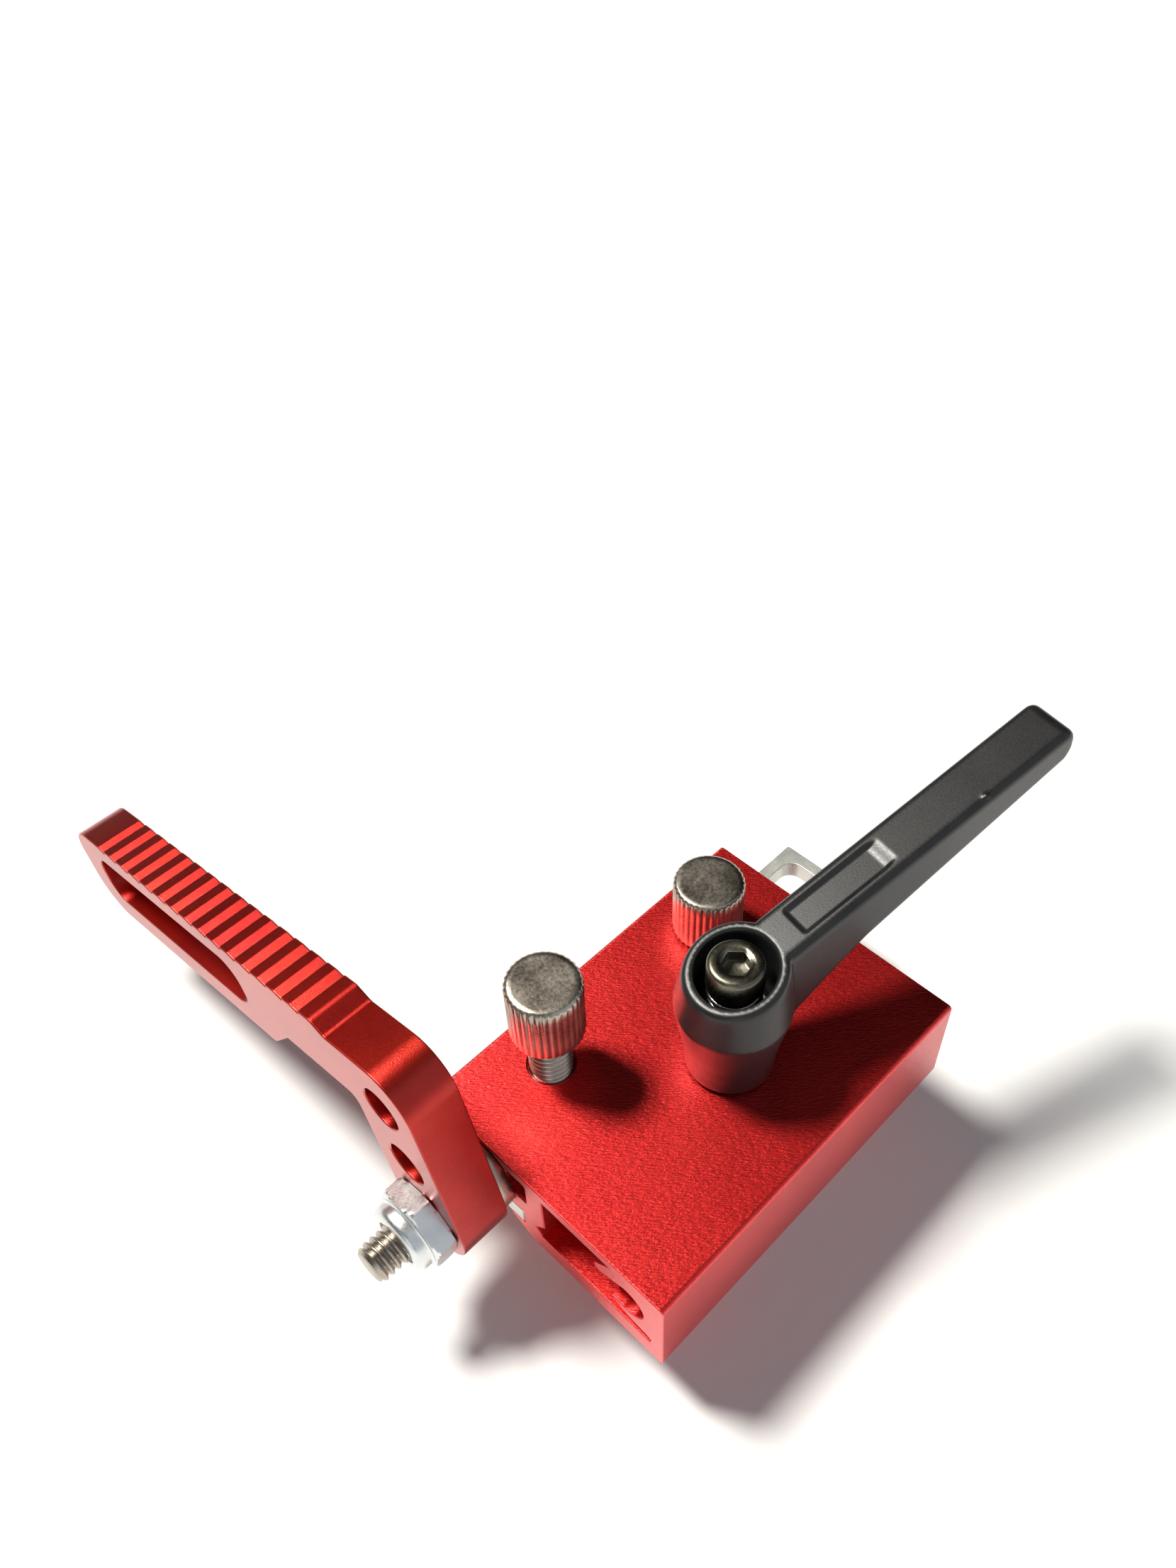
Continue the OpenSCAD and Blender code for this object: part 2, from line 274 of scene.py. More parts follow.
# ---------------------------------------------------------------- materials
class Nodes:
    """Short calls for building one material's node tree."""

    def __init__(self, name):
        self.material = bpy.data.materials.new(name)
        self.material.use_nodes = True
        self.tree = self.material.node_tree
        self.shader = self.tree.nodes["Principled BSDF"]
        self.coords = self.tree.nodes.new("ShaderNodeTexCoord").outputs["Object"]

    def add(self, kind, inputs=None, **settings):
        node = self.tree.nodes.new(kind)
        for key, value in settings.items():
            setattr(node, key, value)
        for key, value in (inputs or {}).items():
            if isinstance(value, bpy.types.NodeSocket):
                self.tree.links.new(value, node.inputs[key])
            else:
                node.inputs[key].default_value = value
        return node

    def set(self, **inputs):
        for key, value in inputs.items():
            name = key.replace("_", " ")
            if isinstance(value, bpy.types.NodeSocket):
                self.tree.links.new(value, self.shader.inputs[name])
            else:
                self.shader.inputs[name].default_value = value

    def stretched(self, scale, turn):
        turned = self.add("ShaderNodeMapping", {"Vector": self.coords, "Rotation": turn}).outputs[0]
        return self.add("ShaderNodeMapping", {"Vector": turned, "Scale": scale}).outputs[0]

    def noise(self, scale, detail, rough=0.6, vector=None, distortion=0.0):
        inputs = {"Vector": vector or self.coords, "Scale": scale, "Detail": detail}
        inputs.update({"Roughness": rough, "Distortion": distortion})
        return self.add("ShaderNodeTexNoise", inputs).outputs["Fac"]

    def ramp(self, value, low, high, to_low=0.0, to_high=1.0):
        return self.add(
            "ShaderNodeMapRange",
            {"Value": value, "From Min": low, "From Max": high, "To Min": to_low, "To Max": to_high},
        ).outputs["Result"]

    def mix(self, factor, a, b):
        node = self.tree.nodes.new("ShaderNodeMix")
        node.data_type = "RGBA"
        for socket, value in ((node.inputs[0], factor), (node.inputs[6], a), (node.inputs[7], b)):
            if isinstance(value, bpy.types.NodeSocket):
                self.tree.links.new(value, socket)
            else:
                socket.default_value = value
        return node.outputs[2]

    def math(self, operation, a, b):
        node = self.tree.nodes.new("ShaderNodeMath")
        node.operation = operation
        for socket, value in ((node.inputs[0], a), (node.inputs[1], b)):
            if isinstance(value, bpy.types.NodeSocket):
                self.tree.links.new(value, socket)
            else:
                socket.default_value = value
        return node.outputs[0]

    def bump(self, height, strength, distance, normal=None):
        inputs = {"Height": height, "Strength": strength, "Distance": distance}
        if normal:
            inputs["Normal"] = normal
        return self.add("ShaderNodeBump", inputs).outputs["Normal"]

    def edge_wear(self, radius, low, high):
        """1 on outside edges, 0 on flats."""
        bevel = self.add("ShaderNodeBevel", {"Radius": radius}, samples=4).outputs["Normal"]
        geometry = self.tree.nodes.new("ShaderNodeNewGeometry").outputs["Normal"]
        facing = self.add("ShaderNodeVectorMath", {0: bevel, 1: geometry}, operation="DOT_PRODUCT")
        return self.ramp(facing.outputs["Value"], high, low)


def rgba(r, g, b):
    return (r, g, b, 1.0)


def red_anodised(name, grain, streak, grain_turn, deep, bright, rough, relief, coat, coat_rough):
    """Dyed anodising over a blasted surface: red metal under a clear oxide skin, with a fine wrinkle."""
    n = Nodes(name)
    blotch = n.noise(90, 3, 0.6)
    n.set(Base_Color=n.mix(n.ramp(blotch, 0.3, 0.7), deep, bright), Metallic=1.0)
    wrinkle = n.noise(1.0, 3, 0.6, n.stretched(streak, grain_turn), distortion=0.1)
    fine = n.noise(grain * 2.6, 3, 0.7)
    coarse = n.noise(grain, 2, 0.6)
    n.set(Roughness=n.ramp(fine, 0.3, 0.7, rough - 0.06, rough + 0.08))
    normal = n.bump(wrinkle, relief, 0.00015)
    normal = n.bump(fine, 0.45 * relief, 0.00005, normal)
    normal = n.bump(coarse, 0.3 * relief, 0.0001, normal)
    n.set(Normal=normal, Coat_Weight=coat, Coat_Roughness=coat_rough, Coat_IOR=1.5, Coat_Normal=normal)
    return n.material


# the wrinkle of the block is drawn out across its top, at an angle to its sides
block_red = red_anodised(
    "red_anodised_block", grain=2600, streak=(1300, 6500, 6500), grain_turn=(0, 0, math.radians(42)),
    deep=rgba(0.76, 0.010, 0.012), bright=rgba(0.90, 0.024, 0.021), rough=0.36, relief=0.48,
    coat=0.9, coat_rough=0.30
)
lever_red = red_anodised(
    "red_anodised_lever", grain=9000, streak=(9000, 9000, 9000), grain_turn=(0, 0, 0),
    deep=rgba(0.42, 0.010, 0.008), bright=rgba(0.54, 0.022, 0.010), rough=0.31, relief=0.16,
    coat=0.6, coat_rough=0.22
)


def silver_metal(name, colour, dark, rough, grain, strength):
    """Bare or plated metal with a fine grain, patchy tone and lighter worn edges."""
    n = Nodes(name)
    patch = n.noise(220, 4, 0.6)
    base = n.mix(n.ramp(patch, 0.35, 0.7), dark, colour)
    worn = n.edge_wear(0.0003, 0.93, 0.995)
    base = n.mix(n.math("MULTIPLY", worn, 0.5), base, rgba(0.85, 0.84, 0.81))
    fine = n.noise(grain, 4, 0.7)
    n.set(Base_Color=base, Metallic=1.0)
    mottle = n.math("ADD", fine, n.math("MULTIPLY", patch, 0.6))
    n.set(Roughness=n.ramp(mottle, 0.5, 1.1, rough - 0.07, rough + 0.1))
    n.set(Normal=n.bump(fine, strength, 0.00005))
    return n.material


# name, colour, darker patches, roughness, grain of the bump, strength of the bump
bar_metal = silver_metal("bar_aluminium", rgba(0.80, 0.81, 0.76), rgba(0.68, 0.69, 0.65), 0.42, 5200, 0.6)
zinc = silver_metal("zinc_plate", rgba(0.88, 0.91, 0.91), rgba(0.72, 0.75, 0.76), 0.33, 3600, 0.25)
nickel = silver_metal("nickel_plate", rgba(0.66, 0.60, 0.52), rgba(0.36, 0.31, 0.26), 0.30, 2400, 0.3)
thread_steel = silver_metal("thread_steel", rgba(0.56, 0.50, 0.43), rgba(0.36, 0.32, 0.27), 0.30, 3800, 0.3)
dark_steel = silver_metal("dark_steel", rgba(0.27, 0.25, 0.19), rgba(0.14, 0.13, 0.10), 0.30, 2600, 0.25)
spring_steel = silver_metal("spring_wire", rgba(0.72, 0.73, 0.72), rgba(0.5, 0.5, 0.5), 0.22, 3000, 0.1)


def black_coat(name):
    """Matt black coating on a die casting, with a soft sheen and fine pebble."""
    n = Nodes(name)
    patch = n.noise(160, 3, 0.6)
    pebble = n.noise(5200, 3, 0.65)
    broad = n.noise(420, 2, 0.5)
    worn = n.edge_wear(0.0005, 0.9, 0.99)
    base = n.mix(n.ramp(patch, 0.3, 0.7), rgba(0.010, 0.010, 0.011), rgba(0.018, 0.018, 0.018))
    base = n.mix(n.math("MULTIPLY", worn, 0.2), base, rgba(0.03, 0.03, 0.029))
    n.set(Base_Color=base, Metallic=0.0, IOR=1.45)
    n.set(Roughness=n.ramp(pebble, 0.3, 0.7, 0.29, 0.39))
    normal = n.bump(pebble, 0.22, 0.00004)
    n.set(Normal=n.bump(broad, 0.05, 0.0001, normal))
    return n.material


handle_black = black_coat("black_coat")


def moulded(name, colour, rough):
    n = Nodes(name)
    tone = n.noise(300, 3, 0.6)
    n.set(Base_Color=n.mix(n.ramp(tone, 0.3, 0.7), colour, rgba(*[c * 0.88 for c in colour[:3]])))
    n.set(Roughness=n.ramp(tone, 0.3, 0.7, rough, rough + 0.1), Subsurface_Weight=0.15)
    n.set(Subsurface_Scale=0.0006, Normal=n.bump(n.noise(3000, 2, 0.5), 0.15, 0.00003))
    return n.material


nylon = moulded("nylon", rgba(0.80, 0.79, 0.74), 0.4)


# ---------------------------------------------------------------- block
PIVOT_R = 2.465
# turns x, y, z of a plate into y, z, x of the frame
ALONG_X = Matrix(((0, 0, 1, 0), (1, 0, 0, 0), (0, 1, 0, 0), (0, 0, 0, 1)))


def block_piece():
    edge = 0.18
    plate_t = 1.65
    floor_z = 3.2
    groove_low, groove_high = 2.65, 5.5
    port = (5.3, pivot.z)
    port_r = 2.45
    pivot_y = pivot.y - block_low.y
    groove_w = (bar_high.y - bar_low.y) + 0.2
    ceiling = block_h - plate_t
    chamber = [(18.2, ceiling, 0.4), (18.15, 6.2, 0.25), (19.8, 4.5, 0.35), (18.8, floor_z, 0.2),
               (1.8, floor_z, 0.35), (1.8, 4.1, 0.3), (5.3, 4.7, 3.0), (7.9, 5.95, 0.12)]
    chamber += arc(port, port_r, -74, -298, 28)
    chamber += [(8.8, 9.75, 0.5), (9.9, 9.6, 0.45), (10.2, 10.5, 0.45), (7.7, ceiling, 0.1)]
    left_room = rectangle(20.9, 8.65, 24.0, ceiling, 0.4)
    mouth, mouth_low = groove_w / 2 - 2.35, groove_w / 2 + 0.85
    lip_z = groove_low - 0.5
    # the groove opens through the underside, so it is part of the outer outline
    groove_side = [(groove_w / 2, groove_high, 0.25), (groove_w / 2, groove_low, 0.2),
                   (mouth, groove_low, 0.1), (mouth, lip_z, 0.15), (mouth_low, 0, 0.15)]
    outer = [(pivot_y - y, z, r) for y, z, r in reversed(groove_side)]
    outer += [(pivot_y + y, z, r) for y, z, r in groove_side]
    outer += [(block_w, 0, 0.5), (block_w, block_h, 0.6), (0, block_h, 0.6), (0, 0, 0.5)]
    outer = rounded(outer)
    chamber = rounded(chamber)
    bore = circle((pivot_y, pivot.z), PIVOT_R)
    place = Matrix.Translation(block_low) @ ALONG_X
    mesh = prism("block_body", [outer, chamber, left_room, bore], block_l, edge, place, 28)
    body = helper(mesh)
    # a hole for each thumb screw with a countersunk rim, and a plain one for the clamp stud
    screw_r, rim_r, stud_r = 2.67, 3.07, 3.24
    above = top_z + 2
    rim = [(screw_r, top_z - 0.35), (rim_r, top_z + 0.05), (rim_r, above), (0, above)]
    for low, high in ((front_low, front_high), (rear_low, rear_high)):
        centre = (low + high) / 2
        hole = revolve("hole", [(0, groove_high - 0.5), (screw_r, groove_high - 0.5)] + rim, 48)
        hole.transform(Matrix.Translation((centre.x, centre.y, 0)))
        cut(body, helper(hole))
    hole = revolve("hole", [(0, -2), (stud_r, -2), (stud_r, above), (0, above)], 48)
    cut(body, helper(hole))
    mesh = body.data
    bpy.data.objects.remove(body)
    to_metres(mesh)
    shade(mesh, 28)
    obj = add_object("block_body", mesh, "base", ["block"], block_red)
    weight_normals(obj)


block_piece()


# ---------------------------------------------------------------- slide bar
def slide_bar_piece():
    rim = 1.7
    window_l = 15.4
    length = bar_high.x - bar_low.x
    width = bar_high.y - bar_low.y
    thick = bar_high.z - bar_low.z
    outline = rectangle(0, 0, length, width, 0.25)
    window = rectangle(length - rim - window_l, rim, length - rim, width - rim, 1.9)
    mesh = prism("slide_bar_body", [outline, window], thick, 0.12, Matrix.Translation(bar_low), 30)
    to_metres(mesh)
    obj = add_object("slide_bar_body", mesh, "bar", ["slide_bar"], bar_metal)
    weight_normals(obj)


slide_bar_piece()


# ---------------------------------------------------------------- flip lever
def lever_piece():
    tilt = math.radians(14)
    leg_mid, leg_r = -0.3, 5.8
    leg_top, edge_top = 25.0, 26.4
    arm_low, arm_step = 12.3, 16.5
    tip = 68.5
    teeth, pitch, ramp, drop, riser, start = 15, 3.36, 1.55, 0.48, 0.12, 59.9
    shoulder = 9.0
    left, right = leg_mid - leg_r, leg_mid + leg_r
    outline = arc((leg_mid, 0), leg_r, 180, 360, 28)
    outline += [(right, arm_step, 1.4), (19.4, arm_step, 0.8), (24.6, arm_low, 1.2)]
    outline += [(tip, arm_low, 5.5), (tip, edge_top, 4.5)]
    for i in range(teeth):
        x = start - pitch * i
        outline += [(x, edge_top, 0.6), (x - ramp, edge_top - drop, 0.06)]
        outline.append((x - ramp - riser, edge_top, 0.12))
    outline += [(shoulder, edge_top, 1.6), (shoulder - 2.1, leg_top + 0.12, 1.2), (left, leg_top, 5.4)]
    outline = rounded(outline)
    window = rectangle(27.4, 16.1, tip - 5.1, 23.4, 3.0)
    hole_step, hole_r = 9.35, 2.75
    holes = [circle((0, 0), PIVOT_R)]
    holes += [circle((leg_mid, hole_step * i), hole_r) for i in (1, 2)]
    place = Matrix.Translation((lever_low.x, pivot.y, pivot.z))
    place = place @ Matrix.Rotation(-tilt, 4, "X") @ ALONG_X
    thick = lever_high.x - lever_low.x
    mesh = prism("flip_lever_plate", [outline, window] + holes, thick, 0.2, place, 26)
    to_metres(mesh)
    obj = add_object("flip_lever_plate", mesh, "lever", ["flip_lever"], lever_red)
    weight_normals(obj)


lever_piece()


# ---------------------------------------------------------------- pivot hardware
def on_pivot(x, direction=1):
    """Z of a turned piece runs along X from the given x, towards +X or -X."""
    turn = Matrix.Rotation(math.pi / 2 * direction, 4, "Y")
    return Matrix.Translation((x, pivot.y, pivot.z)) @ turn


def pivot_stud_piece():
    mesh = threaded_rod("pivot_stud_thread", 2.41, 0.91, 0, stud_high.x - stud_low.x, 0.42)
    to_metres(mesh, on_pivot(stud_low.x))
    shade(mesh, 60)
    add_object("pivot_stud_thread", mesh, "base", ["pivot_stud"], thread_steel)


def washer_piece():
    t = washer_high.x - washer_low.x
    r = (washer_high.y - washer_low.y) / 2
    hole = 2.45
    half = [(hole, 0.1), (hole + 0.1, 0), (r - 0.35, 0), (r - 0.1, 0.12), (r, 0.4)]
    profile = half + [(q, t - z) for q, z in reversed(half)]
    mesh = revolve("pivot_washer_disc", profile, 96, closed=True)
    to_metres(mesh, on_pivot(washer_low.x))
    shade(mesh, 40)
    add_object("pivot_washer_disc", mesh, "base", ["pivot_washer"], thread_steel)


def hexagon_radius(across):
    def radius(a):
        sector = math.pi / 3
        b = a % sector - sector / 2
        return across / 2 / math.cos(b)
    return radius


def nut_piece():
    across = 9.5
    hex_t, collar_r = 2.9, 4.3
    total = nut_high.x - nut_low.x
    hexagon = hexagon_radius(across)
    tall = [0.0, 0.15, 0.5, 1.2, 2.0, hex_t - 0.55, hex_t - 0.3, hex_t - 0.1, hex_t]
    # how far past its flats the chamfers let the hexagon reach at each of those heights
    whole = across
    past_flat = [0.15, 0.6, whole, whole, whole, 0.72, 0.42, 0.1, -0.25]
    cap = {z: across / 2 + extra for z, extra in zip(tall, past_flat)}
    bore_r, ring_r = 2.45, 2.85

    def radius(r, z, a):
        if z in cap and r > 4.5:
            return min(hexagon(a), cap[z])
        return r

    profile = [(bore_r, 0.0), (across / 2 - 0.15, 0.0)]
    profile += [(across / 2 + 0.5, z) for z in tall[1:]]
    fillet = 0.3
    profile += [(collar_r + fillet, hex_t + 0.001), (collar_r + 0.06, hex_t + fillet * 0.6)]
    profile.append((collar_r, hex_t + fillet))
    dome = 1.0
    for i in range(9):
        a = math.pi / 2 * i / 8
        profile.append((collar_r - dome + dome * math.cos(a), total - dome + dome * math.sin(a)))
    profile += [(ring_r + 0.15, total - 0.02), (ring_r, total - 0.15), (ring_r, total - 0.6)]
    profile.append((bore_r, total - 0.6))
    mesh = revolve("lock_nut_body", profile, 180, radius, closed=True)
    turn = Matrix.Rotation(math.radians(46), 4, "Z")
    to_metres(mesh, on_pivot(nut_high.x, -1) @ turn)
    shade(mesh, 24)
    add_object("lock_nut_body", mesh, "base", ["lock_nut"], zinc)


pivot_stud_piece()
washer_piece()
nut_piece()


# ---------------------------------------------------------------- thumb screws
def thumb_piece(name, node, body, low, high):
    head_r, head_h = 4.4, 8.8
    under = high.z - head_h
    centre = (low + high) / 2
    flutes = 34
    chamfer = 0.4

    def flute(r, z, a):
        t = 0.5 + 0.5 * math.cos(flutes * a)
        deep = 0.11 * t ** 1.5
        return r - deep * min(1.0, max(0.0, (r - (head_r - chamfer * 0.6)) / (chamfer * 0.6)))

    rows = 6
    body_low, body_high = chamfer, head_h - chamfer
    profile = [(0, 0), (head_r - chamfer - 0.5, 0), (head_r - chamfer, 0.02)]
    profile += [(head_r - chamfer / 2, chamfer * 0.45), (head_r, chamfer)]
    profile += [(head_r, body_low + (body_high - body_low) * i / rows) for i in range(1, rows + 1)]
    profile += [(head_r - 0.16, body_high + 0.20), (head_r - chamfer, head_h - 0.06)]
    profile += [(head_r - chamfer - 0.12, head_h - 0.01), (head_r - 1.0, head_h), (2.0, head_h), (0, head_h)]
    mesh = revolve(name + "_head", profile, flutes * 10, flute)
    to_metres(mesh, Matrix.Translation((centre.x, centre.y, under)))
    shade(mesh, 50)
    add_object(name + "_head", mesh, body, [node], nickel)
    mesh = threaded_rod(name + "_thread", 2.62, 0.9, 0, under - low.z + 0.3, 0.42)
    to_metres(mesh, Matrix.Translation((centre.x, centre.y, low.z)))
    shade(mesh, 60)
    add_object(name + "_thread", mesh, body, [], thread_steel)


thumb_piece("thumb_screw_a", "thumb_screw_front", "front_screw", front_low, front_high)
thumb_piece("thumb_screw_b", "thumb_screw_rear", "rear_screw", rear_low, rear_high)


# ---------------------------------------------------------------- clamp handle
handle_turn = Matrix.Rotation(math.radians(-10.5), 4, "Z")
handle_rise = math.radians(14.5)
slope = math.tan(handle_rise)
clamp_base = insert_low.z
hub_top, hub_top_r, hub_bore_r, skirt_z, skirt_r = 18.0, 5.8, 4.5, 11.6, 6.7


def handle_piece():
    low_z, low_r = 0.3, 5.2
    web_low, web_high, socket_r, neck_r = 7.8, 9.4, 4.45, 2.35
    # up the outside, over the top, then down the bore and the socket
    profile = [(socket_r, low_z), (low_r - 0.25, low_z), (low_r, low_z + 0.25), (low_r + 0.12, 2.6)]
    profile += [(low_r + 0.35, 5.0), (low_r + 0.85, 8.0), (skirt_r - 0.22, 10.4), (skirt_r - 0.04, 11.3)]
    profile += [(skirt_r, 11.8), (skirt_r - 0.1, 12.4), (hub_top_r + 0.42, 15.0), (hub_top_r + 0.12, 17.1)]
    profile += [(hub_top_r - 0.02, hub_top - 0.3), (hub_top_r - 0.35, hub_top), (hub_bore_r + 0.3, hub_top)]
    profile += [(hub_bore_r + 0.05, hub_top - 0.2), (hub_bore_r, hub_top - 0.6), (hub_bore_r, web_high)]
    profile += [(neck_r, web_high), (neck_r, web_low), (socket_r, web_low)]
    hub = revolve("hub", profile, 96, closed=True)
    for vertex in hub.vertices:
        lift = min(1.0, max(0.0, (vertex.co.z - skirt_z) / (hub_top - skirt_z)))
        if vertex.co.z > web_high + 0.5:
            vertex.co.z += vertex.co.x * slope * lift
    arm_l = 47.0
    tip_x = arm_l * math.cos(handle_rise)
    tip_z = hub_top + tip_x * slope
    half = 3.2
    start = 4.7
    side = [(start, hub_top + start * slope), (start, 5.6)]
    side += [(10.4, tip_z - 20.1, 3.0), (16.4, tip_z - 16.2, 6.0), (24.5, tip_z - 13.0, 8.0)]
    side += [(tip_x - 0.4, tip_z - 5.0, 1.2), (tip_x + 0.3, tip_z - 3.4, 2.0), (tip_x, tip_z, 1.6)]
    place = Matrix.Translation((0, half, 0)) @ Matrix.Rotation(math.pi / 2, 4, "X")
    arm = prism("arm", [rounded(side)], 2 * half, 0.95, place, 30, 4)
    bm = bmesh.new()
    bm.from_mesh(hub)
    bm.from_mesh(arm)
    mesh = bpy.data.meshes.new("clamp_handle_body")
    bm.to_mesh(mesh)
    bm.free()
    body = helper(mesh)
    remesh = body.modifiers.new("fuse", "REMESH")
    remesh.mode = "VOXEL"
    remesh.voxel_size = 0.17
    remesh.adaptivity = 0.0
    smooth = body.modifiers.new("soften", "SMOOTH")
    smooth.factor = 0.5
    smooth.iterations = 8
    bpy.context.view_layer.update()
    evaluated = body.evaluated_get(bpy.context.evaluated_depsgraph_get())
    mesh = bpy.data.meshes.new_from_object(evaluated)
    mesh.name = "clamp_handle_body"
    bpy.data.objects.remove(body)
    # shallow pocket on top of the arm: steep walls, and a ramp at its far end
    pocket_x, pocket_l, pocket_half, pocket_d = 8.2, 13.4, 1.75, 0.38
    wall, far_ramp = 0.55, 2.0
    nub_x, nub_r, nub_h = 33.5, 0.4, 0.25
    up = Vector((-slope, 0, 1)).normalized()
    for vertex in mesh.vertices:
        p = vertex.co
        if abs(p.z - hub_top - p.x * slope) > 0.3 or p.x < 6.5:
            continue
        s = math.hypot(p.x, p.z - hub_top)
        across = min(1.0, max(0.0, (pocket_half - abs(p.y)) / wall + 0.5))
        near = min(1.0, max(0.0, (s - pocket_x) / wall + 0.5))
        far = min(1.0, max(0.0, (pocket_x + pocket_l - s) / far_ramp))
        depth = across * near * far
        depth = depth * depth * (3 - 2 * depth)
        vertex.co -= up * pocket_d * depth
        # a small moulding nub on one top edge
        nub = math.hypot(s - nub_x, p.y + half - 0.5)
        vertex.co += up * nub_h * math.exp(-(nub / nub_r) ** 2)
    to_metres(mesh, Matrix.Translation((0, 0, clamp_base)) @ handle_turn)
    for polygon in mesh.polygons:
        polygon.use_smooth = True
    add_object("clamp_handle_body", mesh, "handle", ["clamp_handle"], handle_black)


handle_piece()


def retaining_screw_piece():
    head_r, head_h = 3.25, 3.6
    top = retain_high.z
    head_low = top - head_h
    hexagon = hexagon_radius(3.0)
    socket, socket_r = 1.9, 1.6
    shank_r, neck_r = 1.6001, 2.2

    def radius(r, z, a):
        return hexagon(a) if abs(r - socket_r) < 1e-6 else r

    profile = [(0, retain_low.z), (shank_r, retain_low.z), (shank_r, insert_high.z), (neck_r, insert_high.z)]
    profile += [(neck_r, head_low), (head_r - 0.1, head_low), (head_r, head_low + 0.1), (head_r, top - 0.55)]
    profile += [(head_r - 0.12, top - 0.25), (head_r - 0.35, top - 0.06), (head_r - 0.6, top), (2.15, top)]
    profile += [(1.95, top - 0.06), (socket_r, top - 0.3), (socket_r, top - socket)]
    profile += [(1.0, top - socket - 0.1), (0, top - socket - 0.35)]
    mesh = revolve("retaining_screw_body", profile, 96, radius)
    to_metres(mesh, Matrix.Rotation(math.radians(12), 4, "Z"))
    shade(mesh, 30)
    add_object("retaining_screw_body", mesh, "clamp", ["retaining_screw"], dark_steel)


def spring_piece():
    wire, coil_r, turns = 0.36, 2.83, 5.5
    low, high = spring_low.z + wire, spring_high.z - wire
    steps = 26
    count = int(turns * steps)
    ring = 10
    bm = bmesh.new()
    rows = []
    for i in range(count + 1):
        t = i / count
        a = 2 * math.pi * turns * t
        rise = low + (high - low) * t
        centre = Vector((coil_r * math.cos(a), coil_r * math.sin(a), rise))
        out = Vector((math.cos(a), math.sin(a), 0))
        row = []
        for k in range(ring):
            b = 2 * math.pi * k / ring
            lift = Vector((0, 0, wire * math.sin(b)))
            row.append(bm.verts.new(centre + out * wire * math.cos(b) + lift))
        rows.append(row)
    for a, b in zip(rows, rows[1:]):
        for k in range(ring):
            m = (k + 1) % ring
            bm.faces.new((a[k], a[m], b[m], b[k]))
    bm.faces.new(rows[0])
    bm.faces.new(rows[-1])
    bmesh.ops.recalc_face_normals(bm, faces=bm.faces)
    mesh = bpy.data.meshes.new("lift_spring_wire")
    bm.to_mesh(mesh)
    bm.free()
    to_metres(mesh)
    shade(mesh, 50)
    obj = add_object("lift_spring_wire", mesh, "clamp", ["lift_spring"], spring_steel)
    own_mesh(obj)


def clamp_stud_piece():
    mesh = threaded_rod("clamp_stud_thread", 3.17, 1.27, 0, clamp_stud_high.z - clamp_stud_low.z, 0.55)
    to_metres(mesh, Matrix.Translation((0, 0, clamp_stud_low.z)))
    shade(mesh, 60)
    add_object("clamp_stud_thread", mesh, "clamp", ["clamp_stud"], thread_steel)


def track_nut_piece():
    length, width = track_high.x - track_low.x, track_high.y - track_low.y
    outline = rectangle(-length / 2, -width / 2, length / 2, width / 2, 1.0)
    place = Matrix.Translation((0, 0, track_low.z))
    thick = track_high.z - track_low.z
    mesh = prism("track_nut_body", [outline, circle((0, 0), 3.2)], thick, 0.3, place, 30)
    to_metres(mesh)
    obj = add_object("track_nut_body", mesh, "nut", ["track_nut"], zinc)
    weight_normals(obj)


retaining_screw_piece()
spring_piece()
clamp_stud_piece()
track_nut_piece()

for node, material in (("nut_insert_ring", nylon), ("clamp_insert", thread_steel)):
    part = frame["nodes"][node]
    part.data.materials.clear()
    part.data.materials.append(material)


# ---------------------------------------------------------------- floor, light, camera
BRIGHT_SIDE = Vector((-0.50, 0.10, 0.86)).normalized()
low_corner = Vector(cad_box[0])
floor_mesh = bpy.data.meshes.new("floor")
size = 3.0
corners = [(size * x, size * y, low_corner.z) for x, y in ((-1, -1), (1, -1), (1, 1), (-1, 1))]
floor_mesh.from_pydata(corners, [], [(0, 1, 2, 3)])
floor = bpy.data.objects.new("floor", floor_mesh)
scene.collection.objects.link(floor)
pale = Nodes("pale_floor")
cloud = pale.ramp(pale.noise(6, 2), 0.3, 0.7)
pale.set(Base_Color=pale.mix(cloud, rgba(0.90, 0.90, 0.90), rgba(0.92, 0.92, 0.92)), Roughness=0.9)
floor_mesh.materials.append(pale.material)

# the studio is faintly bright above and to the left, and falls off to dark on the other side
world = bpy.data.worlds.new("studio")
scene.world = world
world.use_nodes = True
tree = world.node_tree
direction = tree.nodes.new("ShaderNodeTexCoord").outputs["Generated"]
towards_bright = tree.nodes.new("ShaderNodeVectorMath")
towards_bright.operation = "DOT_PRODUCT"
towards_bright.inputs[1].default_value = BRIGHT_SIDE
fall_off = tree.nodes.new("ShaderNodeMapRange")
fall_off.inputs["From Min"].default_value = 0.5
fall_off.inputs["From Max"].default_value = 1.0
fall_off.inputs["To Min"].default_value = 0.004
fall_off.inputs["To Max"].default_value = 0.12
tree.links.new(direction, towards_bright.inputs[0])
tree.links.new(towards_bright.outputs["Value"], fall_off.inputs["Value"])
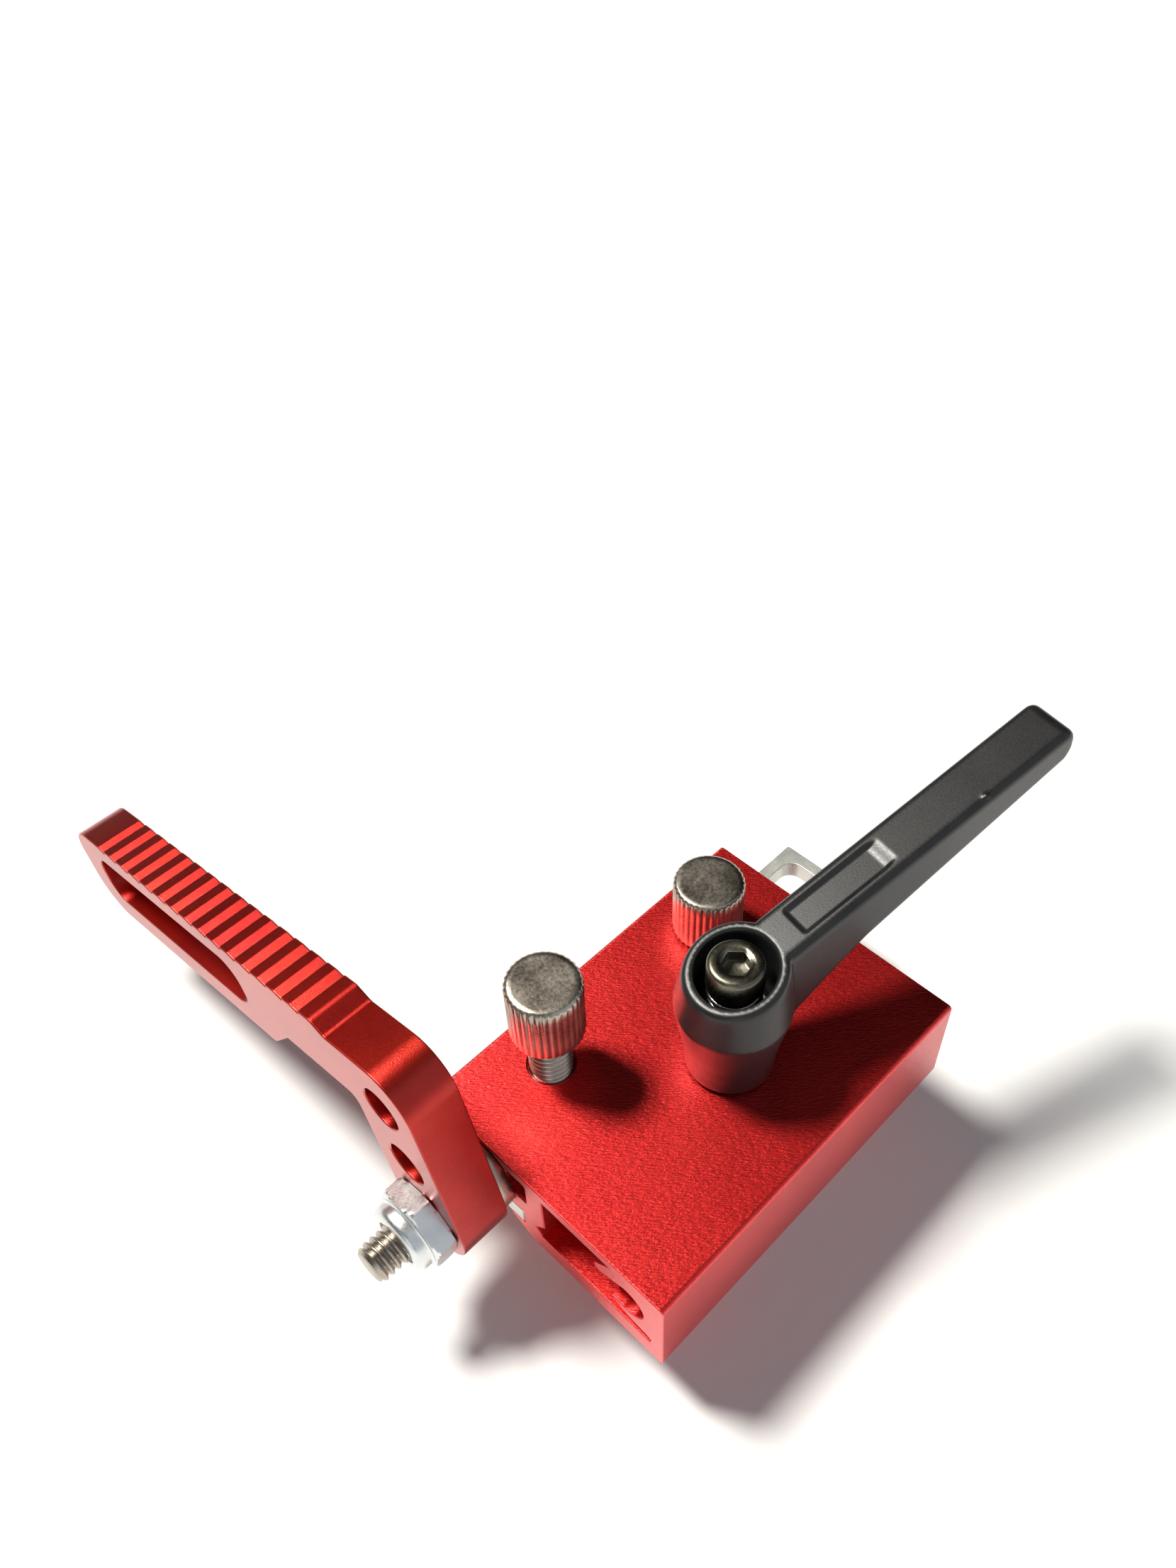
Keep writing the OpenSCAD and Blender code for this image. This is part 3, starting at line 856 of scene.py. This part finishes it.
# the camera itself sees an even pale backdrop
backdrop = tree.nodes.new("ShaderNodeMix")
backdrop.data_type = "FLOAT"
backdrop.inputs["B"].default_value = 1.0
tree.links.new(tree.nodes.new("ShaderNodeLightPath").outputs["Is Camera Ray"], backdrop.inputs["Factor"])
tree.links.new(fall_off.outputs["Result"], backdrop.inputs["A"])
tree.nodes["Background"].inputs["Color"].default_value = rgba(1.0, 1.0, 1.0)
tree.links.new(backdrop.outputs["Result"], tree.nodes["Background"].inputs["Strength"])


def soft_light(name, direction, spread, strength, colour):
    """A distant soft light, seen as a disc the given number of degrees across."""
    data = bpy.data.lights.new(name, "SUN")
    data.angle = math.radians(spread)
    data.energy = strength
    data.color = colour
    light = bpy.data.objects.new(name, data)
    scene.collection.objects.link(light)
    light.rotation_euler = Vector(direction).to_track_quat("Z", "Y").to_euler()


soft_light("key", (-0.17, 0.46, 0.87), 13, 4.2, (1.0, 0.97, 0.90))
soft_light("fill", (-0.80, -0.50, 0.35), 34, 0.28, (0.90, 0.95, 1.0))
soft_light("side_fill", (0.15, -0.85, 0.50), 80, 0.7, (0.86, 0.93, 1.0))
scene.view_settings.view_transform = "Standard"


def view_matrix(azimuth, elevation, roll):
    """Camera axes for a view from the given side: azimuth 0 looks along +Y."""
    a, e = math.radians(azimuth), math.radians(elevation)
    back = Vector((math.sin(a) * math.cos(e), -math.cos(a) * math.cos(e), math.sin(e)))
    right = Vector((math.cos(a), math.sin(a), 0))
    up = back.cross(right)
    axes = Matrix((right, up, back)).transposed()
    return axes @ Matrix.Rotation(math.radians(roll), 3, "Z")


camera_data = bpy.data.cameras.new("camera")
camera_data.sensor_fit = "VERTICAL"
camera_data.sensor_height = 36.0
camera_data.lens = 30.53
camera_data.clip_start = 0.01
camera = bpy.data.objects.new("camera", camera_data)
scene.collection.objects.link(camera)
camera_place = Vector((-65.63, -49.17, 150.6)) * MM
camera.matrix_world = Matrix.Translation(camera_place) @ view_matrix(-42.83, 47.46, -3.015).to_4x4()
scene.camera = camera
